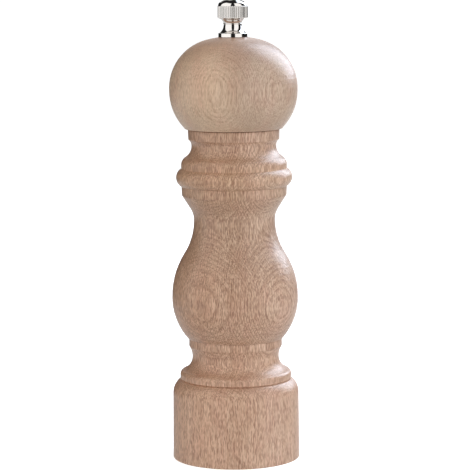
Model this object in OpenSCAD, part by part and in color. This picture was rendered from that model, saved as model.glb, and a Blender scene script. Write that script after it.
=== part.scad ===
// Pepper mill: a turned wooden body and a turning head on a square shaft, over a steel
// grinding mechanism. The origin is the centre of the base, +Z is up, and sizes are in mm.

/* [Foot] */
// Radius of the foot at the table
foot_r = 30.5; // [30:0.1:31]
// Radius at the top of the foot's plain band
foot_top_r = 30.25; // [29.8:0.05:30.5]
// Height of the foot's plain band
foot_h = 31.8; // [30:0.1:32.5]
// Radius of the rounded shoulder above the band
shoulder_round = 8.4; // [8:0.1:10]
// Radius and height of the groove under the foot's ring
groove_r = 26.2; // [25.8:0.1:26.4]
groove_z = 38.4; // [38:0.1:39]
// Radius of the foot's ring
ring_r = 26.7; // [26.2:0.1:26.9]
// Height at which the ring starts to round over
ring_z = 40.8; // [40.4:0.1:41.2]
// Radius and height where the ring meets the cove
ring_top_r = 25.05; // [24.6:0.05:25.4]
ring_top_z = 42.75; // [42.2:0.05:43.2]
// Radius and height of the cove's throat
cove_r = 20.8; // [20:0.1:21]
cove_z = 49.2; // [48.6:0.1:49.8]

/* [Belly and waist] */
// Radius of the fillet under the belly
fillet_r = 22.35; // [22:0.05:22.8]
// Heights of the fillet's lower and upper edge
fillet_lo = 54.5; // [54:0.1:55.4]
fillet_hi = 58.1; // [57.6:0.1:59]
// Radius and height of the belly at its widest
belly_r = 30.2; // [29.6:0.1:30.5]
belly_z = 78.3; // [77.5:0.1:79]
// Arc radius of the belly below and above its widest place
belly_round_lo = 29.6; // [27:0.1:30.5]
belly_round_hi = 38.6; // [37:0.1:40]
// Radius and height of the waist at its narrowest
waist_r = 19.4; // [18.8:0.1:19.8]
waist_z = 115.2; // [115:0.1:116.4]
// Arc radius of the waist above its narrowest place, and the angle it turns through
waist_round = 10.5; // [9.5:0.1:12]
waist_turn = 32; // [31:0.5:35]

/* [Bead and neck] */
// Radius and heights of the fillets on each side of the bead
bead_fillet_r = 25.2; // [24.9:0.05:25.5]
flare_z = 127.1; // [126.6:0.1:128]
bead_lo = 131.3; // [131:0.1:131.7]
bead_hi = 139.95; // [139.5:0.05:140.3]
// Radius of the bead
bead_r = 27.7; // [27.2:0.1:28.2]
// Height of the fillet above the bead
collar_z = 142.35; // [142:0.05:142.7]
// Radius and height where the rounded collar meets the upper cove
ogee_r = 23.2; // [22.8:0.1:23.6]
ogee_z = 145.3; // [144.9:0.1:145.7]
// Radius and height of the upper cove's throat
neck_cove_r = 20.2; // [19.9:0.1:20.6]
neck_cove_z = 150.7; // [150.2:0.1:151.2]
// Radius and height of the lower edge of the neck band
neck_r = 21.65; // [21.4:0.05:21.9]
neck_z = 153.8; // [153.4:0.1:154.8]
// Height of the body
body_h = 158.6; // [158:0.1:159]

/* [Head] */
// Gap between the body and the head
head_gap = 0.2; // [0.1:0.05:0.4]
// Radius and height of the head at its widest
head_r = 30.5; // [30:0.1:31]
head_z = 176.8; // [176.2:0.1:177.4]
// Arc radius of the head below its widest place, above it, and of its crown
head_round_lo = 25.7; // [24:0.1:26.5]
head_round_hi = 23.65; // [23:0.05:24.2]
crown_round = 52; // [46:0.5:56]
// Height of the crown
crown_z = 202.5; // [202.4:0.1:203]
// Radius and height of the flat seat under the knob
seat_r = 7.3; // [7.1:0.1:8]
seat_z = 201.95; // [201.85:0.05:202]
// Radius and length of the head's spigot
spigot_r = 15.2; // [14.8:0.1:15.3]
spigot_l = 14.4; // [12:0.1:15]
// Radius of the hole through the head
head_bore_r = 4.7; // [4.5:0.1:5.2]

/* [Knob] */
// Radius of the knob's flange and of its neck
knob_flange_r = 6.9; // [6.6:0.1:7.1]
knob_neck_r = 4.25; // [4.2:0.05:4.8]
// Radius of the knurled band
knob_r = 7.2; // [6.9:0.1:7.4]
// Lower and upper edge of the knurled band, above the knob's seat
knurl_lo = 9.1; // [8.9:0.1:9.5]
knurl_hi = 14.8; // [14.4:0.1:15]
// Number of grooves in the knurl
knurl_n = 48; // [36:1:60]
// Height of the knob
knob_h = 18.55; // [18:0.05:18.8]

/* [Shaft] */
// Width across the flats of the square shaft
shaft_w = 6; // [5.6:0.1:6]
// Play between the square shaft and a square hole, on each side
shaft_play = 0.15; // [0.1:0.01:0.25]
// Height of the shaft's lower end, of the top of its square length, and of its threaded end
shaft_lo = 4.5; // [4.3:0.1:4.8]
square_top = 196.5; // [195:0.5:198]
shaft_top = 213.2; // [212:0.1:213.5]
// Radius of the threaded end
thread_r = 2.5; // [2.3:0.1:2.5]
// Radial clearance of the running fits
running_fit = 0.08; // [0.06:0.01:0.1]

/* [Inside the body] */
// Radius of the chamber that holds the peppercorns
chamber_r = 14; // [13.5:0.1:14.2]
// Radius and depth of the socket for the head's spigot
socket_r = 15.5; // [15.5:0.1:15.7]
socket_d = 16.2; // [16:0.1:17]
// Radius and height of the recess in the base
recess_r = 24.6; // [24.4:0.1:25]
recess_h = 8.6; // [8.6:0.1:9]
// Radius and height of the bore for the mechanism
mech_r = 18.2; // [18.15:0.05:18.4]
mech_h = 42.4; // [42.2:0.1:43]

/* [Mechanism] */
// Thickness of the stamped steel
sheet = 1.2; // [1:0.1:1.2]
// Height of the base plate's lower face
plate_z = 6; // [5.9:0.1:6]
// Radius of the outlet in the base plate
outlet_r = 15.3; // [15.2:0.1:15.6]
// Circle and number of the base plate's screws
plate_pcd = 42.6; // [42:0.1:43]
plate_screws = 3; // [3:1:4]
// Outer radius and top of the mechanism's housing
housing_r = 18.05; // [18:0.01:18.1]
housing_top = 34; // [32:0.5:35]
// Upper face of the toothed ring
stator_hi = 22.5; // [21:0.5:23]
// Teeth in the ring, and on the burr's fine and coarse parts
stator_teeth = 36; // [30:1:40]
rotor_teeth = 32; // [28:1:36]
rotor_flutes = 6; // [5:1:8]
// Lower and upper face of the burr, and the height where its coarse part starts
rotor_lo = 8; // [7.9:0.1:8.2]
rotor_mid = 16; // [14:0.5:18]
rotor_hi = 30; // [28:0.5:30]
// Height of the bridge's upper face, and its width
bridge_z = 41.4; // [41.2:0.1:41.6]
bridge_w = 9; // [8:0.5:10]
// Radius of the bridge's hole, and of the eye around it
bush_hole_r = 6; // [5.9:0.1:6.2]
bridge_eye_r = 8.6; // [8.4:0.1:9]
// Wire, mean radius and turns of the spring
wire_r = 0.55; // [0.4:0.05:0.6]
coil_r = 6.5; // [6.2:0.1:6.8]
coil_turns = 4; // [3:0.5:5]

/* [Hidden] */
$fn = 96;
arc_step = 5;
head_lo = body_h + head_gap;
spigot_lo = head_lo - spigot_l;
plate_top = plate_z + sheet;
housing_in = housing_r - sheet;
stator_lo = plate_top + 0.1;
clip_z = rotor_lo - 1.75;
bush_r = bush_hole_r - running_fit;
bush_flange_z = bridge_z - sheet - 0.1;
washer_z = rotor_hi + 0.1;
spring_lo = washer_z + 0.9;
spring_hi = bush_flange_z - 1.3;
WOOD = [0.80, 0.66, 0.53];
STEEL = [0.66, 0.67, 0.68];
BRIGHT = [0.84, 0.85, 0.86];
NYLON = [0.90, 0.89, 0.85];

// ---- Outlines -------------------------------------------------------------------------

// Points of an arc from p to q, without p. A positive radius bulges away from the axis on
// the way up, a negative one is hollow, and 0 is a straight line.
function arc_to(p, q, r) =
    r == 0 ? [q] :
    let (
        d = q - p,
        half = norm(d) / 2,
        rise = sqrt(max(r * r - half * half, 0)) * sign(r),
        c = (p + q) / 2 + [-d.y, d.x] / norm(d) * rise,
        a = atan2(p.y - c.y, p.x - c.x),
        turn = (atan2(q.y - c.y, q.x - c.x) - a + 540) % 360 - 180,
        n = max(2, ceil(abs(turn) / arc_step))
    )
    [for (i = [1 : n]) c + abs(r) * [cos(a + turn * i / n), sin(a + turn * i / n)]];

// Outline from a start point and a list of [point, radius] steps
function outline(start, steps, i = 0) =
    i == len(steps) ? [start] :
    let (part = arc_to(start, steps[i][0], steps[i][1]))
    concat([start], [for (k = [0 : 1 : len(part) - 2]) part[k]],
        outline(part[len(part) - 1], steps, i + 1));

// Radius of the arc that reaches its end dr away while it rises dz and ends upright
function upright(dr, dz) = (dr * dr + dz * dz) / (2 * dr);

// The arc above the belly and the one below the waist meet where their centres line up
belly_c = [belly_r - belly_round_hi, belly_z];
reverse_sum = upright(belly_r - waist_r, waist_z - belly_z);
waist_round_lo = reverse_sum - belly_round_hi;
waist_c = [waist_r + waist_round_lo, waist_z];
reverse_p = belly_c + (waist_c - belly_c) * belly_round_hi / reverse_sum;
waist_end = [waist_r + waist_round * (1 - cos(waist_turn)),
    waist_z + waist_round * sin(waist_turn)];
bead_sag = bead_r - bead_fillet_r;
bead_round = (pow((bead_hi - bead_lo) / 2, 2) + bead_sag * bead_sag) / (2 * bead_sag);

body_outline = outline([0, 0], [
    [[foot_r - 0.6, 0], 0],
    [[foot_r, 0.6], 0.6],
    [[foot_top_r, foot_h], 0],
    [[groove_r + 0.7, groove_z - 0.2], shoulder_round],
    [[groove_r, groove_z], 0],
    [[ring_r, groove_z + 0.5], 0],
    [[ring_r, ring_z], 0],
    [[ring_top_r, ring_top_z], 2.1],
    [[cove_r, cove_z], -upright(ring_top_r - cove_r, cove_z - ring_top_z)],
    [[fillet_r, fillet_lo], -upright(fillet_r - cove_r, fillet_lo - cove_z)],
    [[fillet_r, fillet_hi], 0],
    [[fillet_r + 0.5, fillet_hi + 0.1], 0],
    [[belly_r, belly_z], belly_round_lo],
    [reverse_p, belly_round_hi],
    [[waist_r, waist_z], -waist_round_lo],
    [waist_end, -waist_round],
    [[bead_fillet_r - 0.2, flare_z], 0],
    [[bead_fillet_r, bead_lo], 0],
    [[bead_fillet_r, bead_hi], bead_round],
    [[bead_fillet_r, collar_z], 0],
    [[ogee_r, ogee_z], 4.6],
    [[neck_cove_r, neck_cove_z], -upright(ogee_r - neck_cove_r, neck_cove_z - ogee_z)],
    [[neck_r, neck_z], -upright(neck_r - neck_cove_r, neck_z - neck_cove_z)],
    [[neck_r + 0.2, body_h - 0.4], 0],
    [[neck_r - 0.2, body_h], 0.4],
    [[0, body_h], 0]]);

// The head's side and crown meet where their centres line up
crown_c = [0, crown_z - crown_round];
side_c = [head_r - head_round_hi, head_z];
crown_p = crown_c + (side_c - crown_c) / norm(side_c - crown_c) * crown_round;
head_edge_z = head_lo + 0.5;
head_edge_r = head_r - head_round_lo + sqrt(pow(head_round_lo, 2) - pow(head_z - head_edge_z, 2));
crown_edge_z = crown_c.y + sqrt(pow(crown_round, 2) - pow(seat_r, 2));

head_outline = outline([0, spigot_lo], [
    [[spigot_r - 0.8, spigot_lo], 0],
    [[spigot_r, spigot_lo + 0.8], 0],
    [[spigot_r, head_lo], 0],
    [[head_edge_r - 0.6, head_lo], 0],
    [[head_edge_r, head_edge_z], 0.7],
    [[head_r, head_z], head_round_lo],
    [crown_p, head_round_hi],
    [[seat_r, crown_edge_z], crown_round],
    [[seat_r, seat_z], 0],
    [[0, seat_z], 0]]);

knob_outline = outline([0, 0], [
    [[knob_flange_r - 0.2, 0], 0],
    [[knob_flange_r, 0.3], 0.4],
    [[knob_flange_r, 1.75], 0],
    [[knob_flange_r - 0.3, 2.05], 0.5],
    [[knob_neck_r + 0.2, 5.0], -4],
    [[knob_neck_r + 0.05, 6.2], -14],
    [[knob_neck_r + 0.3, 6.45], 0.4],
    [[knob_neck_r + 0.1, 6.75], 0.4],
    [[knob_r - 0.4, knurl_lo - 0.1], -3.4],
    [[knob_r, knurl_lo + 0.3], 0.5],
    [[knob_r, knurl_hi - 0.2], 0],
    [[knob_r - 0.25, knurl_hi], 0],
    [[knob_r - 0.95, knurl_hi + 1.65], 2.4],
    [[knob_r - 1.25, knurl_hi + 1.75], 0],
    [[0, knob_h], 11]]);

// ---- Shared shapes --------------------------------------------------------------------

// Round bar or tube along +Z from z, with an optional hole
module tube(z, h, r, hole = 0) {
    translate([0, 0, z])
        difference() {
            cylinder(h = h, r = r);
            if (hole > 0)
                translate([0, 0, -1])
                    cylinder(h = h + 2, r = hole);
        }
}

// Square bar along +Z from z
module square_bar(z, h, w) {
    translate([-w / 2, -w / 2, z])
        cube([w, w, h]);
}

// Puts n copies on a circle of radius r
module on_circle(n, r, start = 0) {
    for (i = [0 : n - 1])
        rotate([0, 0, start + i * 360 / n])
            translate([r, 0, 0])
                children();
}

// Wood screw that points up from z: a domed head with a cross recess, a shank and a point
module wood_screw(z, head_r, head_h, shank_r, length) {
    translate([0, 0, z])
        difference() {
            rotate_extrude()
                polygon(outline([0, 0], [
                    [[head_r * 0.5, 0], 0],
                    [[head_r, head_h * 0.6], head_r * 0.75],
                    [[head_r, head_h], 0],
                    [[shank_r, head_h], 0],
                    [[shank_r, length - 2], 0],
                    [[shank_r * 0.6, length - 1.6], 0],
                    [[0.2, length], 0],
                    [[0, length], 0]]));
            for (a = [0, 90])
                rotate([0, 0, a])
                    translate([-head_r * 0.55, -0.3, -0.5])
                        cube([head_r * 1.1, 0.6, head_h * 0.5 + 0.5]);
        }
}

// Star of n teeth between two radii
module teeth(n, r_in, r_out) {
    polygon([for (i = [0 : 2 * n - 1])
        let (r = i % 2 == 0 ? r_out : r_in, a = i * 180 / n)
        [r * cos(a), r * sin(a)]]);
}

// Centre line and tube of a coil spring
function coil_point(t, k) =
    let (a = t * 360, z = spring_lo + wire_r
        + (spring_hi - spring_lo - 2 * wire_r) * t / coil_turns,
        r = coil_r + wire_r * cos(k))
    [r * cos(a), r * sin(a), z + wire_r * sin(k)];

// ---- Wood -----------------------------------------------------------------------------

module body() {
    color(WOOD)
        difference() {
            rotate_extrude()
                polygon(body_outline);
            tube(-1, body_h + 2, chamber_r);
            tube(body_h - socket_d, socket_d + 1, socket_r);
            tube(-1, recess_h + 1, recess_r);
            tube(-1, mech_h + 1, mech_r);
            on_circle(plate_screws, plate_pcd / 2, 90)
                tube(recess_h - 1, 10.5, 1.4);
        }
}

module head() {
    color(WOOD)
        difference() {
            rotate_extrude()
                polygon(head_outline);
            tube(spigot_lo - 1, seat_z - spigot_lo + 2, head_bore_r);
            on_circle(3, 10, 30)
                tube(spigot_lo - 1, 8.5, 1.1);
        }
}

// ---- Knob -----------------------------------------------------------------------------

module knob() {
    color(BRIGHT)
        translate([0, 0, seat_z + 0.05])
            difference() {
                rotate_extrude()
                    polygon(knob_outline);
                tube(-1, 4.6, thread_r + 0.8);
                tube(-1, 14, thread_r + running_fit);
                on_circle(knurl_n, knob_r)
                    translate([0, 0, knurl_lo + 0.55])
                        linear_extrude(knurl_hi - knurl_lo - 1)
                            polygon([[-0.25, 0], [0.2, -0.4], [0.2, 0.4]]);
            }
}

// Nylon ring in the mouth of the knob's thread: it grips the shaft so the setting holds
module knob_insert() {
    color(NYLON)
        tube(seat_z + 0.45, 3, thread_r + 0.75, thread_r + running_fit);
}

// ---- Plate under the head ---------------------------------------------------------------

module drive_plate() {
    color(STEEL)
        difference() {
            tube(spigot_lo - sheet - 0.05, sheet, 14);
            square_bar(spigot_lo - 3, 6, shaft_w + 2 * shaft_play);
            on_circle(3, 10, 30)
                tube(spigot_lo - 3, 6, 1.25);
        }
}

module drive_plate_screws() {
    color(BRIGHT)
        on_circle(3, 10, 30)
            wood_screw(spigot_lo - sheet - 1.5, 2.1, 1.4, 1, 9);
}

// ---- Shaft and what rides on it ---------------------------------------------------------

module shaft() {
    color(BRIGHT)
        difference() {
            union() {
                square_bar(rotor_lo + 0.3, square_top - rotor_lo - 0.3, shaft_w);
                tube(shaft_lo, rotor_lo - shaft_lo + 0.5, 2.6);
                tube(square_top - 1, shaft_top - square_top + 0.4, thread_r);
                translate([0, 0, shaft_top - 0.6])
                    cylinder(h = 0.6, r1 = thread_r, r2 = thread_r - 0.5);
            }
            // Groove for the retaining clip
            tube(clip_z - 0.1, 1, 4, 2.1);
            // Grooves of the thread
            for (z = [square_top + 0.8 : 0.8 : shaft_top - 1])
                translate([0, 0, z])
                    rotate_extrude()
                        polygon([[thread_r - 0.3, 0], [thread_r + 0.1, -0.3],
                            [thread_r + 0.1, 0.3]]);
        }
}

module spring_washer() {
    color(STEEL)
        difference() {
            tube(washer_z, 0.8, 7.9);
            square_bar(washer_z - 1, 3, shaft_w + 2 * shaft_play);
        }
}

// Burr: a fine cone below, six spiral flutes above that draw the peppercorns down
module rotor() {
    color(STEEL)
        difference() {
            union() {
                translate([0, 0, rotor_lo])
                    linear_extrude(rotor_mid - rotor_lo, twist = -9, scale = 0.93, slices = 6)
                        teeth(rotor_teeth, 13.4, 14.2);
                translate([0, 0, rotor_mid - 0.5])
                    linear_extrude(rotor_hi - rotor_mid + 0.5, twist = -62, scale = 0.66,
                        slices = 16)
                        union() {
                            circle(r = 9.8, $fn = 48);
                            for (i = [0 : rotor_flutes - 1])
                                rotate([0, 0, i * 360 / rotor_flutes])
                                    polygon([[8, -3.4], [12.6, -0.9], [12.9, 0.6], [8, 1.6]]);
                        }
            }
            square_bar(rotor_lo - 1, rotor_hi, shaft_w + 2 * shaft_play);
        }
}

module thrust_washer() {
    color(STEEL)
        tube(rotor_lo - 0.9, 0.8, 6.5, 2.7);
}

// Open ring that snaps into the groove at the shaft's lower end
module retaining_clip() {
    color(STEEL)
        difference() {
            tube(clip_z, 0.8, 5, 2.2);
            translate([0, -1.6, clip_z - 1])
                cube([6, 3.2, 3]);
            on_circle(2, 3.3, 90)
                tube(clip_z - 1, 3, 0.7);
        }
}

// ---- Bush and spring --------------------------------------------------------------------

// Nylon bush that turns in the bridge's round hole and guides the square shaft
module bush() {
    color(NYLON)
        difference() {
            union() {
                tube(bush_flange_z - 1.2, 1.2, 8.1);
                tube(bush_flange_z - 0.1, 2.2, bush_r);
            }
            square_bar(bush_flange_z - 3, 8, shaft_w + 2 * shaft_play);
            tube(bridge_z + 0.1, 0.6, 9, bush_r - 0.55);
        }
}

module bush_ring() {
    color(STEEL)
        difference() {
            tube(bridge_z + 0.15, 0.5, 7.4, bush_r - 0.5);
            translate([0, -1.4, bridge_z])
                cube([9, 2.8, 2]);
        }
}

module spring() {
    steps = 20 * coil_turns;
    sides = 8;
    rings = [for (i = [0 : steps]) [for (k = [0 : sides - 1])
        coil_point(i / 20, k * 360 / sides)]];
    ends = [[for (k = [0 : sides - 1]) k],
        [for (k = [sides - 1 : -1 : 0]) steps * sides + k]];
    walls = [for (i = [0 : steps - 1]) for (k = [0 : sides - 1])
        let (n = (k + 1) % sides)
        [i * sides + k, (i + 1) * sides + k, (i + 1) * sides + n, i * sides + n]];
    color(BRIGHT)
        polyhedron([for (ring = rings) each ring], concat(ends, walls), convexity = 8);
}

// ---- Fixed mechanism --------------------------------------------------------------------

module stator() {
    color(STEEL)
        difference() {
            union() {
                tube(stator_lo, stator_hi - stator_lo, housing_in - 0.1);
                on_circle(3, housing_in - 1, 30)
                    translate([0, -2, stator_lo])
                        cube([1 + sheet - 0.1, 4, 3]);
            }
            translate([0, 0, stator_lo - 0.1])
                linear_extrude(stator_hi - stator_lo + 0.2, twist = 14, scale = 1.035,
                    slices = 8)
                    teeth(stator_teeth, 14.75, 15.45);
        }
}

// Pressed cup around the toothed ring, with a flange below and notches for the ring's lugs
module housing() {
    color(STEEL)
        difference() {
            union() {
                tube(plate_top + 0.1, sheet, 24.3);
                tube(plate_top + 0.1, housing_top - plate_top - 0.1, housing_r);
            }
            tube(plate_top - 1, stator_hi - plate_top + 1.1, housing_in);
            // Stop bead that keeps the ring from rising
            tube(plate_top - 1, housing_top, housing_in - 0.8);
            tube(stator_hi + 1.2, housing_top, housing_in);
            on_circle(3, housing_in - 2, 30)
                translate([0, -2.2, plate_top - 1])
                    cube([6, 4.4, 5.7]);
            on_circle(plate_screws, plate_pcd / 2, 90)
                tube(plate_top - 1, 4, 1.7);
            for (a = [0, 180])
                rotate([0, 90, a])
                    translate([-29, 0, housing_in - 2])
                        cylinder(h = 6, r = 1.1);
        }
}

// Strap over the burr: two legs inside the cup and a cross bar with the bush's hole
module bridge() {
    leg_r = housing_in - 0.1;
    color(STEEL)
        difference() {
            intersection() {
                tube(24.5, bridge_z - 24.5, leg_r);
                union() {
                    translate([-20, -bridge_w / 2, 0])
                        cube([40, bridge_w, 60]);
                    tube(bridge_z - sheet, sheet, bridge_eye_r);
                }
            }
            difference() {
                translate([-20, -10, 20])
                    cube([40, 20, bridge_z - sheet - 20]);
                tube(20, 30, 30, leg_r - sheet);
            }
            tube(30, 20, bush_hole_r);
            for (a = [0, 180])
                rotate([0, 90, a])
                    translate([-29, 0, leg_r - 3])
                        cylinder(h = 6, r = 1.1);
        }
}

module bridge_rivets() {
    color(BRIGHT)
        for (a = [0, 180])
            rotate([0, 90, a])
                translate([-29, 0, 0]) {
                    translate([0, 0, housing_in - sheet - 0.8])
                        cylinder(h = 0.5, r1 = 1.4, r2 = 1.9);
                    translate([0, 0, housing_in - sheet - 0.4])
                        cylinder(h = 2.5, r = 1);
                }
}

module base_plate() {
    color(STEEL)
        difference() {
            tube(plate_z, sheet, 24.3, outlet_r);
            on_circle(plate_screws, plate_pcd / 2, 90)
                tube(plate_z - 1, 4, 1.7);
            // Cut-outs between the screws show the flange above
            on_circle(plate_screws, 24.3, 30)
                tube(plate_z - 1, 4, 4);
        }
}

module base_plate_screws() {
    color(BRIGHT)
        on_circle(plate_screws, plate_pcd / 2, 90)
            wood_screw(plate_z - 1.65, 2.7, 1.6, 1.3, 13);
}

body();
head();
knob();
knob_insert();
drive_plate();
drive_plate_screws();
shaft();
spring_washer();
rotor();
thrust_washer();
retaining_clip();
bush();
bush_ring();
spring();
stator();
housing();
bridge();
bridge_rivets();
base_plate();
base_plate_screws();
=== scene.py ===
"""Pepper mill: detailed pieces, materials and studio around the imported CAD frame. In metres."""
import math

import bpy
import numpy as np
from mathutils import Matrix, Vector


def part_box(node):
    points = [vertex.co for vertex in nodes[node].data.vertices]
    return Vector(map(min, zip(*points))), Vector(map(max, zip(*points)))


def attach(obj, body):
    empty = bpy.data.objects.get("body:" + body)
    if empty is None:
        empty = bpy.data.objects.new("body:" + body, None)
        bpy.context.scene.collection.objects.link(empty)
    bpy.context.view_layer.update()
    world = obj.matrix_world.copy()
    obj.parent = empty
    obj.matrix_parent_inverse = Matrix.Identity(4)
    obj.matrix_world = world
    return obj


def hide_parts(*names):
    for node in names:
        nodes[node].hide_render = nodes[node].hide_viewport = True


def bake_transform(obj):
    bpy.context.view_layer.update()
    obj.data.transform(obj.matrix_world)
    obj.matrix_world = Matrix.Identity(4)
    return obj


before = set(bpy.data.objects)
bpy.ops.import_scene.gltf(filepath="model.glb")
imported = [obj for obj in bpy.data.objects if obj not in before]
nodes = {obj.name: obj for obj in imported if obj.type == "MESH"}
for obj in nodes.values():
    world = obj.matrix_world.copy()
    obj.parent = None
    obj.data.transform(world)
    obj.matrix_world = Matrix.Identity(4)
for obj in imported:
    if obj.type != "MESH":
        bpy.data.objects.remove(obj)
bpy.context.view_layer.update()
MM = 0.001
TURN = 2 * math.pi

# ---- Driving sizes, in mm; places come from the frame ---------------------------------

KNOB = dict(bore_r=2.58, bore_depth=13.0, insert_r=3.3, insert_depth=3.6, flange_r=6.9,
            neck_r=4.25, band_r=7.2, knurl_lo=9.1, knurl_hi=14.8, height=18.55, edge=0.25,
            grooves=48, groove_depth=0.28, groove_skin=0.45, rib_flat=1.3)
SHAFT = dict(half_width=3.0, edge_round=0.35, thread_r=2.5, thread_depth=0.32, pitch=0.8,
             thread_length=16.7, thread_step=0.07, relief_r=2.2, stub_r=2.6, stub_length=3.8,
             groove_r=2.1, sides=96)
SPRING = dict(wire_r=0.55, coil_r=6.5, turns=4, wire_sides=16, steps_per_turn=48, tip=0.55)

# Sharpest edge that is shaded smooth, in degrees
CAD_SMOOTH, TURNED_SMOOTH, WIRE_SMOOTH = 28, 40, 60


# ---- Outlines and meshes --------------------------------------------------------------

def arc_to(p, q, r, step=3.0):
    """Points of an arc from p to q, without p, one for about each step in degrees.

    Positive r bulges away from the axis on the way up, negative r is hollow, 0 is straight.
    """
    p, q = np.array(p, float), np.array(q, float)
    if r == 0:
        return [tuple(q)]
    d = q - p
    length = np.hypot(*d)
    rise = math.sqrt(max(r * r - length * length / 4, 0)) * math.copysign(1, r)
    c = (p + q) / 2 + np.array([-d[1], d[0]]) / length * rise
    a = math.atan2(*(p - c)[::-1])
    turn = (math.atan2(*(q - c)[::-1]) - a + math.pi) % TURN - math.pi
    n = max(2, math.ceil(math.degrees(abs(turn)) / step))
    angles = [a + turn * i / n for i in range(1, n + 1)]
    return [tuple(c + abs(r) * np.array([math.cos(b), math.sin(b)])) for b in angles]


def outline(start, steps):
    """Outline from a start point and [point, radius] steps."""
    points = [tuple(start)]
    for point, radius in steps:
        points += arc_to(points[-1], point, radius)
    return points


def even_out(points, gap):
    """The same outline with no two points further apart than the gap."""
    fine = [points[0]]
    for p in points[1:]:
        q = fine[-1]
        n = max(1, math.ceil(math.dist(p, q) / gap))
        fine += [(q[0] + (p[0] - q[0]) * i / n, q[1] + (p[1] - q[1]) * i / n)
                 for i in range(1, n + 1)]
    return fine


def around(count):
    """Angles of evenly spaced points round a circle."""
    return [TURN * i / count for i in range(count)]


def ramp(distance, length):
    """0 before a start, and 1 from a length beyond it."""
    return max(0.0, min(1.0, distance / length))


def place(name, data):
    """A new object in the scene."""
    obj = bpy.data.objects.new(name, data)
    bpy.context.scene.collection.objects.link(obj)
    return obj


def closed_skin(name, rings):
    """Closed skin over rings of equal length, with a centre point at each end."""
    n = len(rings[0])
    verts = [v for ring in rings for v in ring]
    faces = []
    for i in range(len(rings) - 1):
        for k in range(n):
            j = (k + 1) % n
            faces.append((i * n + k, i * n + j, (i + 1) * n + j, (i + 1) * n + k))
    for i, flip in ((0, True), (len(rings) - 1, False)):
        verts.append(tuple(np.mean(rings[i], axis=0)))
        c = len(verts) - 1
        for k in range(n):
            j = (k + 1) % n
            faces.append((i * n + j, i * n + k, c) if flip else (i * n + k, i * n + j, c))
    mesh = bpy.data.meshes.new(name)
    mesh.from_pydata(verts, [], faces)
    mesh.validate()
    return place(name, mesh)


def dress(obj, look, angle):
    """One material, and smooth shading except over edges sharper than the angle."""
    obj.data.materials.clear()
    obj.data.materials.append(MATERIALS[look])
    obj.data.set_sharp_from_angle(angle=math.radians(angle))
    obj.data.polygons.foreach_set("use_smooth", [True] * len(obj.data.polygons))
    obj.data.update()


def finish_piece(obj, look, body, replaced, angle):
    """Dress a piece, hang it on the body it rides on, and hide the CAD node it stands for."""
    dress(obj, look, angle)
    if body:
        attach(obj, body)
    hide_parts(replaced)


# ---- Node trees -----------------------------------------------------------------------

class Nodes:
    """Shorthand for building a node tree."""

    def __init__(self, tree):
        self.nodes, self.links = tree.nodes, tree.links

    def new(self, kind, **settings):
        """A node of a kind, with settings such as its operation."""
        node = self.nodes.new("ShaderNode" + kind)
        for key, value in settings.items():
            setattr(node, key, value)
        return node

    def put(self, socket, value):
        """Link a socket to another one, or set its constant."""
        if isinstance(value, bpy.types.NodeSocket):
            self.links.new(value, socket)
        else:
            socket.default_value = value

    def by_order(self, node, *values):
        """Put values into a node's inputs in their order, and give its first output."""
        for socket, value in zip(node.inputs, values):
            self.put(socket, value)
        return node.outputs[0]

    def by_name(self, node, **values):
        """Put values into a node's inputs by name, with _ for a space."""
        for key, value in values.items():
            self.put(node.inputs[key.replace("_", " ")], value)
        return node.outputs

    def math(self, operation, *values, clamp=False):
        return self.by_order(self.new("Math", operation=operation, use_clamp=clamp), *values)

    def add(self, first, *rest):
        for value in rest:
            first = self.math("ADD", first, value)
        return first

    def mul(self, first, *rest):
        for value in rest:
            first = self.math("MULTIPLY", first, value)
        return first

    def sub(self, a, b):
        return self.math("SUBTRACT", a, b)

    def most(self, first, *rest):
        """The largest of several values."""
        for value in rest:
            first = self.math("MAXIMUM", first, value)
        return first

    def swing(self, value, size):
        """A value from 0 to 1 turned into one of this size about zero."""
        return self.mul(self.sub(value, 0.5), size)

    def smoothstep(self, x, lo, hi, out_lo=0.0, out_hi=1.0):
        node = self.new("MapRange", interpolation_type="SMOOTHSTEP")
        return self.by_order(node, x, lo, hi, out_lo, out_hi)

    def between(self, factor, a, b):
        """A number between a and b."""
        node = self.new("Mix")
        for index, value in ((0, factor), (2, a), (3, b)):
            self.put(node.inputs[index], value)
        return node.outputs[0]

    def split(self, vector):
        node = self.new("SeparateXYZ")
        self.put(node.inputs[0], vector)
        return node.outputs[:3]


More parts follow.
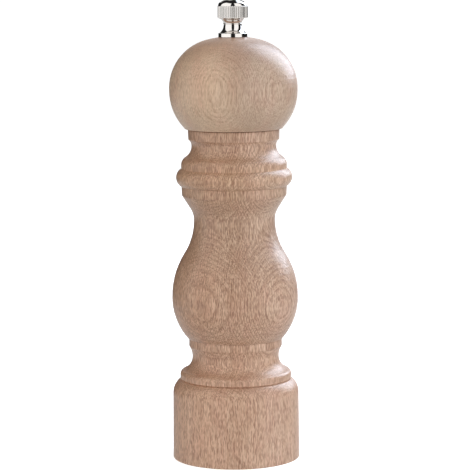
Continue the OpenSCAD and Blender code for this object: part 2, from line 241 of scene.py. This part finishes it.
class Surface(Nodes):
    """A material's nodes round one Principled shader."""

    def __init__(self, name):
        self.material = bpy.data.materials.new(name)
        self.material.use_nodes = True
        super().__init__(self.material.node_tree)
        self.nodes.clear()
        self.shader = self.new("BsdfPrincipled")
        self.put(self.new("OutputMaterial").inputs["Surface"], self.shader.outputs[0])

    def set(self, **values):
        self.by_name(self.shader, **values)

    def position(self):
        """Object coordinates in mm, as x, y, z sockets and one vector."""
        scale = self.new("VectorMath", operation="SCALE")
        self.put(scale.inputs[0], self.new("TexCoord").outputs["Object"])
        scale.inputs["Scale"].default_value = 1 / MM
        return (*self.split(scale.outputs[0]), scale.outputs[0])

    def vector(self, x, y, z):
        return self.by_order(self.new("CombineXYZ"), x, y, z)

    def scaled(self, sockets, factors):
        """A vector of three sockets, each times its own factor."""
        return self.vector(*(self.mul(a, b) for a, b in zip(sockets, factors)))

    def noise(self, vector, scale=1.0, detail=2.0, rough=0.5):
        node = self.new("TexNoise")
        return self.by_name(node, Vector=vector, Scale=scale, Detail=detail, Roughness=rough)["Fac"]

    def cells(self, vector, spread):
        """Distance to the nearest cell centre, and a random value per cell."""
        out = self.by_name(self.new("TexVoronoi"), Vector=vector, Scale=1.0, Randomness=spread)
        return out["Distance"], self.by_order(self.new("SeparateColor"), out["Color"])

    def seams(self, vector):
        """Distance to the nearest wall between cells."""
        node = self.new("TexVoronoi", feature="DISTANCE_TO_EDGE")
        return self.by_name(node, Vector=vector, Scale=1.0)["Distance"]

    def mix(self, factor, a, b, blend="MIX"):
        """A colour between a and b."""
        node = self.new("Mix", data_type="RGBA", blend_type=blend)
        for index, value in ((0, factor), (6, a), (7, b)):
            self.put(node.inputs[index], value)
        return node.outputs[2]

    def bump(self, height, strength, distance):
        out = self.by_name(self.new("Bump"), Strength=strength, Distance=distance, Height=height)
        self.put(self.shader.inputs["Normal"], out[0])


def rgb(r, g, b):
    """Colour from 0-255 display values to linear."""
    def lin(v):
        v /= 255
        return v / 12.92 if v <= 0.04045 else ((v + 0.055) / 1.055) ** 2.4
    return (lin(r), lin(g), lin(b), 1.0)


# ---- Wood -----------------------------------------------------------------------------

# Displacements of the grain: frequency across and along the trunk per mm, seed, size in mm
SLOW = ((0.02, 0.011, 0, 9.0), (0.06, 0.05, 7, 2.2))
SWAY = ((0.2, 0.05, 13, 1.0), (0.5, 0.12, 19, 0.35))
TWIST = ((0.22, 0.05, 31, 1.0), (0.55, 0.13, 37, 0.35))
# Cells that hold a fleck each: mm across, towards the pith and upright, and the fleck's share
FLECKS = ((0.42, 0.7, 3.6, 0.42), (0.36, 0.6, 2.8, 0.38), (0.7, 0.4, 3.8, 0.4))
# How far the flecks stray from an even grid, from 0 to 1
FLECK_SPREAD = 0.72
# How much further apart the lines along the rays are than the growth rings
RAY_PITCH = 1.25
# How far the mean tone lies from the dark colour towards the light one
MEAN_TONE = 0.69
OCHRE, PINK = rgb(178, 136, 100), rgb(206, 152, 130)
SEAM, VEIN = rgb(146, 100, 72), rgb(136, 90, 62)
LATE_WOOD, FLECK = rgb(130, 90, 65), rgb(116, 72, 48)


def beech(name, pith, lean, ring_pitch, ring_depth, streak, dash, light, dark, offset, sides,
          tone_and_shade_by_height):
    """Turned beech in solid 3D: growth rings round a pith outside the blank, crossed by rays.

    pith is in mm and leans by lean per mm of height. The last two arguments are rows of a place in
    mm
    and the factor from there on: across the piece they are painted light and shade, one side paler
    than the other; along the height they are partly painted light and shade and partly the wood's
    own tone.
    """
    t = Surface(name)
    x, y, z, _ = t.position()

    def drift(waves):
        """A smooth displacement of the grain, in mm."""
        parts = []
        for frequency, upright, seed, size in waves:
            where = t.vector(t.mul(x, frequency), t.mul(y, frequency),
                             t.add(t.mul(z, upright), offset + seed))
            parts.append(t.swing(t.noise(where, detail=1), size))
        return t.add(*parts)

    def line(phase):
        """A line that darkens slowly over each period and then ends sharply."""
        phase = t.math("FRACT", phase)
        return t.mul(t.smoothstep(phase, 0.42, 0.85), t.smoothstep(phase, 0.9, 1.0, 1.0, 0.0))

    # The grain wanders slowly, and its fibres sway a little from side to side
    slow, sway, twist = drift(SLOW), drift(SWAY), drift(TWIST)
    px = t.sub(t.sub(x, pith[0]), t.mul(z, lean[0]))
    py = t.sub(t.sub(y, pith[1]), t.mul(z, lean[1]))
    depth = t.add(t.math("SQRT", t.add(t.mul(px, px), t.mul(py, py))), slow)
    radial = t.add(depth, twist)
    plane = t.mul(t.math("ARCTAN2", py, px), math.hypot(*pith))
    sheet = t.add(plane, slow)
    across = t.add(plane, sway)
    # Growth rings of uneven width end in a thin late-wood line, broken up by the rays
    uneven = t.noise(t.vector(t.mul(depth, 0.12), offset, 0.0))
    broken = t.noise(t.scaled((across, radial, z), (1.5, 1.3, 0.3)))
    late = line(t.add(t.math("DIVIDE", depth, ring_pitch), t.mul(twist, 0.1), t.mul(uneven, 5.0)))
    late = t.mul(late, t.smoothstep(broken, 0.35, 0.62))
    # Fainter lines follow the sheets of rays, where the rings are broken
    uneven = t.noise(t.vector(t.mul(plane, 0.12), offset + 9.0, 0.0))
    weft = line(t.add(t.math("DIVIDE", sheet, RAY_PITCH * ring_pitch), t.mul(sway, 0.1),
                      t.mul(uneven, 4.0)))
    weft = t.mul(weft, t.smoothstep(broken, 0.65, 0.35, 0.0, 0.75))
    # Thin layers inside the rings, and the sheets of rays that cross them at right angles
    layers = t.noise(t.vector(t.add(depth, t.mul(twist, 0.12)), t.mul(across, 0.03),
                              t.mul(z, 0.02)), scale=3.0, rough=0.7)
    sheets = t.noise(t.vector(t.add(sheet, t.mul(sway, 0.15)), t.mul(depth, 0.03),
                              t.add(t.mul(z, 0.02), offset)), scale=2.9, rough=0.7)
    # Sparse dark lines along both: ovals, arcs and vees where the turning cuts the grain
    rim = t.noise(t.vector(t.add(depth, t.mul(twist, 0.3)), t.mul(across, 0.02),
                           t.mul(z, 0.012)), scale=1.1, detail=1)
    ray = t.noise(t.vector(t.add(sheet, t.mul(sway, 0.3)), t.mul(depth, 0.02),
                           t.add(t.mul(z, 0.012), offset + 3.0)), scale=1.1, detail=1)
    veins = t.math("MINIMUM", t.math("ABSOLUTE", t.sub(rim, 0.5)),
                   t.mul(t.math("ABSOLUTE", t.sub(ray, 0.5)), 2.0))
    veins = t.mul(t.smoothstep(veins, 0.008, 0.05, 1.0, 0.0),
                  t.smoothstep(broken, 0.38, 0.58, 0.15, 1.0))
    # Medullary rays, thin upright plates towards the pith, and strokes of late wood
    flecks = []
    for k, (wide, deep, tall, size) in enumerate(FLECKS):
        distance, chance = t.cells(t.vector(
            t.add(t.mul(across, 1 / wide), 3.7 * k), t.add(t.mul(radial, 1 / deep), offset + k),
            t.add(t.mul(z, 1 / tall), 1.9 * k)), FLECK_SPREAD)
        reach = t.add(t.mul(chance, size), 0.1)
        flecks.append(t.mul(t.smoothstep(t.math("DIVIDE", distance, reach), 0.5, 1.2, 1.0, 0.0),
                            t.smoothstep(chance, 0.05, 0.55)))
    flecks = t.most(*flecks)
    # Fibres part round the rays in long lens-shaped bundles with thin darker seams
    seam = t.seams(t.scaled((across, radial, z), (1.4, 0.9, 0.18)))
    seam = t.mul(t.smoothstep(seam, 0.0, 0.16, 1.0, 0.0),
                 t.smoothstep(broken, 0.3, 0.6, 0.35, 1.0))
    # Fibre bundles and pores along the grain, and slow changes of hue
    bundle = t.noise(t.scaled((across, radial, z), (3.0, 1.3, 0.13)), detail=1, rough=0.6)
    pore = t.noise(t.scaled((x, y, z), (6.0, 6.0, 0.35)), rough=0.6)
    ochre = t.noise(t.vector(t.mul(x, 0.045), t.mul(y, 0.045), t.add(t.mul(z, 0.012), offset)))
    pink = t.noise(t.vector(t.mul(x, 0.11), t.mul(y, 0.11),
                            t.add(t.mul(z, 0.05), offset + 5.0)), detail=3, rough=0.7)
    # Colour
    tone = t.add(t.swing(bundle, streak), t.swing(layers, 1.1 * streak),
                 t.add(t.swing(sheets, 0.75 * streak), t.swing(pore, 0.5)))
    base = t.mix(t.math("ADD", MEAN_TONE, tone, clamp=True), dark, light)
    # The rings and rays show less on the straight foot, where the grain is cut along its length
    figure = t.mul(t.most(late, weft), t.smoothstep(z, 30.0, 60.0, 0.5, 1.0))
    for amount, colour in ((t.smoothstep(ochre, 0.3, 0.7, 0.0, 0.3), OCHRE),
                           (t.smoothstep(pink, 0.42, 0.66, 0.0, 0.25), PINK),
                           (t.mul(seam, 0.3 * streak), SEAM),
                           (t.mul(veins, 0.32 * streak), VEIN),
                           (t.mul(figure, ring_depth), LATE_WOOD),
                           (t.mul(flecks, dash), FLECK)):
        base = t.mix(amount, base, colour)
    # Painted light and shade across the piece, one side paler than the other; along its length the
    # tone drifts, partly painted light and shade and partly the wood's own tone
    for along, rows in ((x, sides), (z, tone_and_shade_by_height)):
        # Each row's factor multiplies the colour: painted light and shade across, partly painted
        # light and shade along the height
        painted_light_and_tone = (*rows[0][1], 1)
        for (start, _), (end, colour) in zip(rows, rows[1:]):
            painted_light_and_tone = t.mix(t.smoothstep(along, start, end), painted_light_and_tone, (*colour, 1))
        base = t.mix(1.0, base, painted_light_and_tone, "MULTIPLY")
    height = t.add(t.mul(flecks, -0.6), t.add(t.mul(bundle, 0.8), t.mul(late, -0.3)))
    t.set(Base_Color=base, Roughness=t.smoothstep(bundle, 0.3, 0.7, 0.42, 0.54), IOR=1.5,
          Coat_Weight=0.5, Coat_Roughness=0.3, Coat_IOR=1.5)
    t.bump(height, 0.4, 0.15 * MM)
    return t.material


# ---- Metals and plastic ---------------------------------------------------------------

MARKS = rgb(120, 112, 100)


def metal(name, colour, rough, grain, streak, bump, spots=0.0):
    """Metal with streaks along the direction where grain is smallest, and handling marks.

    streak is how much darker the streaks are, bump their height in mm, spots how much marks show.
    """
    t = Surface(name)
    x, y, z, where = t.position()
    lines = t.noise(t.scaled((x, y, z), grain), detail=4, rough=0.65)
    marks = t.noise(where, scale=0.35, detail=3)
    grit = t.noise(where, scale=5.0)
    shade = t.smoothstep(t.add(t.mul(lines, 0.7), t.mul(grit, 0.3)), 0.3, 0.7)
    base = t.mix(shade, (*(c * (1 - streak) for c in colour), 1), (*colour, 1))
    if spots:
        base = t.mix(t.smoothstep(marks, 0.5, 0.75, 0.0, spots), base, MARKS)
    worn = t.add(t.mul(lines, 0.6), t.mul(marks, 0.4))
    t.set(Base_Color=base, Metallic=1.0,
          Roughness=t.smoothstep(worn, 0.25, 0.75, rough * 0.75, rough * 1.3))
    t.bump(t.add(lines, t.mul(grit, 0.4)), 0.3, bump * MM)
    return t.material


def nylon():
    t = Surface("nylon")
    where = t.position()[3]
    cloud = t.noise(where, scale=0.25)
    grain = t.noise(where, scale=7.0)
    t.set(Base_Color=t.mix(cloud, rgb(214, 210, 196), rgb(236, 233, 222)),
          Roughness=t.smoothstep(grain, 0.3, 0.7, 0.38, 0.52),
          Subsurface_Weight=0.15, Subsurface_Radius=(0.002, 0.002, 0.0018))
    t.bump(grain, 0.25, 0.03 * MM)
    return t.material


MATERIALS = {
    "body": beech("beech_body", pith=(150.0, -118.0), lean=(0.01, -0.012), ring_pitch=0.95,
                  ring_depth=0.72, streak=1.0, dash=0.6, light=rgb(230, 196, 168),
                  dark=rgb(184, 140, 110), offset=0.0,
                  # Painted light and shade: warmer on the left side, cooler on the right
                  sides=((-25.0, (1.07, 1.02, 0.97)), (25.0, (0.94, 1.0, 1.08))),
                  # Partly painted light and shade, partly the wood's own tone: paler at the foot,
                  # darker round the waist
                  tone_and_shade_by_height=((38.0, (1.04, 1.03, 1.03)), (80.0, (1.0, 1.0, 1.0)),
                           (115.0, (0.87, 0.88, 0.87)), (128.0, (0.93, 0.94, 0.91)),
                           (138.0, (1.05, 1.06, 1.02)), (152.0, (0.94, 0.94, 0.94)))),
    "head": beech("beech_head", pith=(-18.0, -60.0), lean=(0.02, 0.03), ring_pitch=0.9,
                  ring_depth=0.34, streak=0.65, dash=0.38, light=rgb(228, 200, 174),
                  dark=rgb(197, 161, 132), offset=21.0,
                  # Painted light and shade: the left side paler, the right side darker
                  sides=((-14.0, (1.18, 1.2, 1.17)), (10.0, (0.83, 0.855, 0.885))),
                  # Partly painted shade, partly the wood's own tone: darker and redder towards the
                  # top of the head
                  tone_and_shade_by_height=((164.0, (0.95, 0.98, 0.99)), (176.0, (1.0, 1.01, 1.02)),
                           (190.0, (1.0, 1.0, 1.0)), (203.0, (0.93, 0.84, 0.83)))),
    "nickel": metal("nickel_plate", (0.72, 0.69, 0.66), rough=0.06, grain=(0.5, 0.5, 3.0),
                    streak=0.03, bump=0.01),
    "drawn": metal("drawn_aluminium", (0.50, 0.51, 0.53), rough=0.36, grain=(5.0, 5.0, 0.08),
                   streak=0.2, bump=0.03),
    "zinc": metal("zinc_sheet", (0.46, 0.47, 0.49), rough=0.36, grain=(2.0, 0.25, 1.0),
                  streak=0.24, bump=0.04, spots=0.3),
    "screw": metal("screw_zinc", (0.55, 0.55, 0.54), rough=0.26, grain=(1.0, 1.0, 3.0),
                   streak=0.18, bump=0.03, spots=0.15),
    "hard": metal("hardened_steel", (0.30, 0.30, 0.31), rough=0.4, grain=(1.2, 1.2, 0.6),
                  streak=0.3, bump=0.06, spots=0.3),
    "wire": metal("spring_wire", (0.42, 0.43, 0.45), rough=0.24, grain=(2.0, 2.0, 2.0),
                  streak=0.2, bump=0.03),
    "nylon": nylon(),
}

# CAD nodes that keep their mesh, by material
LOOKS = {
    "body": ["body"],
    "head": ["head"],
    "nylon": ["knob_insert", "bush"],
    "zinc": ["drive_plate", "housing", "bridge", "base_plate", "spring_washer", "thrust_washer"],
    "screw": ["drive_plate_screws", "base_plate_screws", "bridge_rivets"],
    "hard": ["rotor", "stator"],
    "wire": ["retaining_clip", "bush_ring"],
}
for look, names in LOOKS.items():
    for name in names:
        dress(nodes[name], look, CAD_SMOOTH)


# ---- Knob -----------------------------------------------------------------------------

def make_knob():
    """Turned knob with a waisted neck and a knurled band of flat-topped ribs under its dome."""
    k = KNOB
    flange, neck, band = k["flange_r"], k["neck_r"], k["band_r"]
    lo, hi, edge = k["knurl_lo"], k["knurl_hi"], k["edge"]
    profile = outline((k["bore_r"], k["bore_depth"]), [
        # Threaded bore and the seat of the nylon ring
        ((k["bore_r"], k["insert_depth"] + 0.1), 0),
        ((k["insert_r"], k["insert_depth"]), 0),
        ((k["insert_r"], 0.2), 0),
        ((k["insert_r"] + 0.2, 0), 0),
        # Flange
        ((flange - edge, 0), 0),
        ((flange, edge), edge),
        ((flange, 1.75), 0),
        ((flange - 0.3, 2.05), 0.3),
        # Neck, with a small bead near its top
        ((neck + 0.2, 5.0), -4),
        ((neck + 0.05, 6.2), -14),
        ((neck + 0.3, 6.45), 0.25),
        ((neck + 0.1, 6.75), 0.3),
        # Knurled band
        ((band - 0.4, lo - 0.1), -3.4),
        ((band, lo + 0.3), 0.5),
        ((band, hi - edge), 0),
        ((band - edge, hi), edge),
        # Shoulder and dome
        ((band - 0.95, hi + 1.65), 2.4),
        ((band - 1.25, hi + 1.75), 0),
        ((0.05, k["height"]), 11)])
    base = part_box("knob")[0].z
    points_per_groove = 8
    run_out = 0.3
    rings = []
    # Long straight stretches are evened out so that the knurl has rings to bend
    for r, z in even_out(profile, 0.35):
        cut = k["groove_depth"] * ramp(z - lo + 0.12, run_out) * ramp(hi + 0.05 - z, run_out)
        if r <= band - k["groove_skin"]:
            cut = 0
        ring = []
        for a in around(k["grooves"] * points_per_groove):
            rib = min(1, k["rib_flat"] * abs(math.sin(a * k["grooves"] / 2)))
            reach = (r - cut * (1 - rib)) * MM
            ring.append((reach * math.cos(a), reach * math.sin(a), base + z * MM))
        rings.append(ring)
    obj = closed_skin("knob_turned", rings)
    finish_piece(obj, "nickel", "cap", "knob", TURNED_SMOOTH)


# ---- Shaft ----------------------------------------------------------------------------

def make_shaft():
    """Square bar with a screw thread above, and a round stub with the clip's groove below."""
    s = SHAFT
    stub, groove, relief, thread = s["stub_r"], s["groove_r"], s["relief_r"], s["thread_r"]
    lo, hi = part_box("shaft")
    bottom, top = lo.z, hi.z
    square_lo, square_hi = bottom + s["stub_length"] * MM, top - s["thread_length"] * MM
    clip_lo, clip_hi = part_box("retaining_clip")

    def round_ring(r, z):
        return [(r * MM * math.cos(a), r * MM * math.sin(a), z) for a in around(s["sides"])]

    def square_ring(z, shrink=0.0):
        """Square section whose corners are arcs of the edge's radius."""
        half, soft = s["half_width"] - shrink, s["edge_round"]
        far = half - soft
        ring = []
        for a in around(s["sides"]):
            c, n = math.cos(a), math.sin(a)
            u, v = abs(c), abs(n)
            reach = half / max(u, v)
            b = far * (u + v)
            inside = b * b - (2 * far * far - soft * soft)
            if inside > 0:
                arc = b + math.sqrt(inside)
                if min(arc * u, arc * v) > far:
                    reach = min(reach, arc)
            ring.append((reach * c * MM, reach * n * MM, z))
        return ring

    def thread_ring(z):
        ring = []
        for a in around(s["sides"]):
            phase = ((z - square_hi) / MM / s["pitch"] - a / TURN) % 1.0
            r = (thread - s["thread_depth"] * abs(2 * phase - 1)) * MM
            ring.append((r * math.cos(a), r * math.sin(a), z))
        return ring

    # Stub and the clip's groove
    rings = [round_ring(r, z) for r, z in (
        (stub - 0.4, bottom), (stub, bottom + 0.4 * MM),
        (stub, clip_lo.z - 0.15 * MM), (groove, clip_lo.z - 0.1 * MM),
        (groove, clip_hi.z + 0.05 * MM), (stub, clip_hi.z + 0.1 * MM), (stub, square_lo))]
    # Square
    rings += [square_ring(square_lo + 0.02 * MM, 0.3), square_ring(square_lo + 0.35 * MM)]
    steps = 24
    rings += [square_ring(square_lo + (square_hi - square_lo) * i / steps)
              for i in range(1, steps)]
    rings += [square_ring(square_hi - 0.4 * MM), square_ring(square_hi, 0.35)]
    # Relief and thread
    rings += [round_ring(2.55, square_hi + 0.05 * MM), round_ring(relief, square_hi + 0.3 * MM),
              round_ring(relief, square_hi + 0.9 * MM)]
    start, end = square_hi + 1.2 * MM, top - 0.5 * MM
    steps = int((end - start) / (s["thread_step"] * MM))
    rings += [thread_ring(start + (end - start) * i / steps) for i in range(steps + 1)]
    rings += [round_ring(thread - 0.6, top - 0.1 * MM), round_ring(thread - 0.8, top)]
    obj = closed_skin("shaft_bar", rings)
    finish_piece(obj, "drawn", "spindle", "shaft", TURNED_SMOOTH)


# ---- Spring ---------------------------------------------------------------------------

def make_spring():
    """Compression spring between the bush and the burr, with tapered ends."""
    s = SPRING
    lo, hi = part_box("spring")
    steps = s["steps_per_turn"] * s["turns"]
    height = (hi.z - lo.z) / MM - 2 * s["wire_r"]
    rings = []
    for i in range(steps + 1):
        t = i / steps
        # The end turns lie nearly flat, as on a ground compression spring
        z = s["wire_r"] + height * (t - math.sin(TURN * t) / TURN * 0.6)
        a = TURN * s["turns"] * t
        taper = min(1, min(t, 1 - t) * steps / 10)
        wire = s["wire_r"] * (s["tip"] + (1 - s["tip"]) * taper)
        ring = []
        for b in around(s["wire_sides"]):
            reach = (s["coil_r"] + wire * math.cos(b)) * MM
            ring.append((reach * math.cos(a), reach * math.sin(a),
                         lo.z + (z + wire * math.sin(b)) * MM))
        rings.append(ring)
    obj = closed_skin("spring_coil", rings)
    obj.data.flip_normals()
    finish_piece(obj, "wire", None, "spring", WIRE_SMOOTH)
    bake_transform(obj)


make_knob()
make_shaft()
make_spring()


# ---- Studio ---------------------------------------------------------------------------

# Pale panels that polished metal reflects: from and to in degrees from the camera's side,
# positive to the right, bottom and top as the sine of the elevation, and brightness
PANELS = ((-104, -16, -0.3, 0.92, 1.0), (18, 75, -0.3, 0.92, 1.0), (160, 181, -0.3, 0.12, 1.0),
          (170, 181, 0.12, 0.72, 1.0), (-181, -167, 0.1, 0.8, 0.5))
PANEL_SOFTNESS = math.radians(2.5)
# Brightness of the even light from above and below, of the panels and the ground in
# reflections, and of the backdrop as the camera sees it
GLOW = dict(above=0.44, below=0.6, panel=1.35, ground=0.75, backdrop=1.05)
WHITE, COOL = (1.0, 1.0, 1.0), (0.78, 0.87, 1.0)
# Name, colour, azimuth, elevation, distance, size, strength, whether reflections show it
LIGHTS = (
    ("front", WHITE, 0, 20, 1.4, (0.5, 0.5), 5.3, False),
    ("front_right", WHITE, 48, 22, 1.3, (0.7, 1.0), 2.4, False),
    ("low_right", WHITE, 74, -18, 0.28, (0.15, 0.15), 0.3, False),
    ("rim_right", COOL, 136, 34, 1.2, (0.8, 1.15), 16.0, True),
)
LIGHT_TARGET = Vector((0, 0, 0.12))
FLOOR_HALF = 30.0
# Lens and sensor in mm, place in metres, turns in degrees
CAMERA = dict(lens=174.4, sensor=36.0, place=(0, -1.080, 0.2466), tilt=-7.33, roll=-0.5,
              yaw=-0.009)


def make_floor():
    """Pale floor that only the camera sees; the world gives the light that it throws back."""
    h = FLOOR_HALF
    mesh = bpy.data.meshes.new("floor")
    mesh.from_pydata([(-h, -h, 0), (h, -h, 0), (h, h, 0), (-h, h, 0)], [], [(0, 1, 2, 3)])
    obj = place("floor", mesh)
    t = Surface("floor_white")
    t.set(Base_Color=(0.9, 0.9, 0.9, 1), Roughness=0.9, Specular_IOR_Level=0.1,
          Emission_Color=(1, 1, 1, 1), Emission_Strength=0.7)
    mesh.materials.append(t.material)
    obj.visible_diffuse = False
    obj.visible_glossy = False


def softbox(name, colour, azimuth, elevation, distance, size, strength, glossy):
    """Area light aimed at the mill; azimuth 0 is the camera's side, positive to the right."""
    a, e = math.radians(azimuth), math.radians(elevation)
    way = Vector((math.sin(a) * math.cos(e), -math.cos(a) * math.cos(e), math.sin(e)))
    data = bpy.data.lights.new(name, "AREA")
    data.shape = "RECTANGLE"
    data.size, data.size_y = size
    data.energy = strength
    data.color = colour
    obj = place(name, data)
    obj.location = LIGHT_TARGET + way * distance
    obj.rotation_euler = way.to_track_quat("Z", "Y").to_euler()
    obj.visible_camera = False
    obj.visible_glossy = glossy


def make_world(above, below, panel, ground, backdrop):
    """White backdrop, even soft fill, and for reflections pale panels with dark gaps."""
    world = bpy.data.worlds.new("studio")
    world.use_nodes = True
    t = Nodes(world.node_tree)
    x, y, up = t.split(t.new("TexCoord").outputs["Generated"])
    azimuth = t.math("ARCTAN2", x, t.mul(y, -1.0))
    soft = PANEL_SOFTNESS
    panels = []
    for left, right, bottom, top, level in PANELS:
        left, right = math.radians(left), math.radians(right)
        panels.append(t.mul(t.smoothstep(azimuth, left - soft, left + soft),
                            t.smoothstep(azimuth, right - soft, right + soft, 1.0, 0.0),
                            t.smoothstep(up, bottom - 0.05, bottom + 0.05),
                            t.smoothstep(up, top - 0.06, top + 0.02, panel * level, 0.0)))
    mirrored = t.add(t.most(*panels), t.smoothstep(up, -0.25, -0.1, ground, 0.02))
    path = t.new("LightPath").outputs
    light = t.between(path["Is Glossy Ray"], t.smoothstep(up, -0.2, 0.2, below, above), mirrored)
    t.by_name(t.nodes["Background"], Color=(1, 1, 1, 1),
           Strength=t.between(path["Is Camera Ray"], light, backdrop))
    bpy.context.scene.world = world


def make_camera():
    """Long lens above the mill's top, looking slightly down; the mill fills the height."""
    c = CAMERA
    data = bpy.data.cameras.new("camera")
    data.sensor_width = c["sensor"]
    data.lens = c["lens"]
    data.clip_start, data.clip_end = 0.05, 50
    obj = place("camera", data)
    turn = Matrix.Identity(4)
    for angle, axis in ((c["yaw"], "Z"), (90 + c["tilt"], "X"), (c["roll"], "Z")):
        turn = turn @ Matrix.Rotation(math.radians(angle), 4, axis)
    obj.matrix_world = Matrix.Translation(c["place"]) @ turn
    bpy.context.scene.camera = obj


make_floor()
make_world(**GLOW)
for light in LIGHTS:
    softbox(*light)
make_camera()
bpy.context.scene.view_settings.view_transform = "Standard"
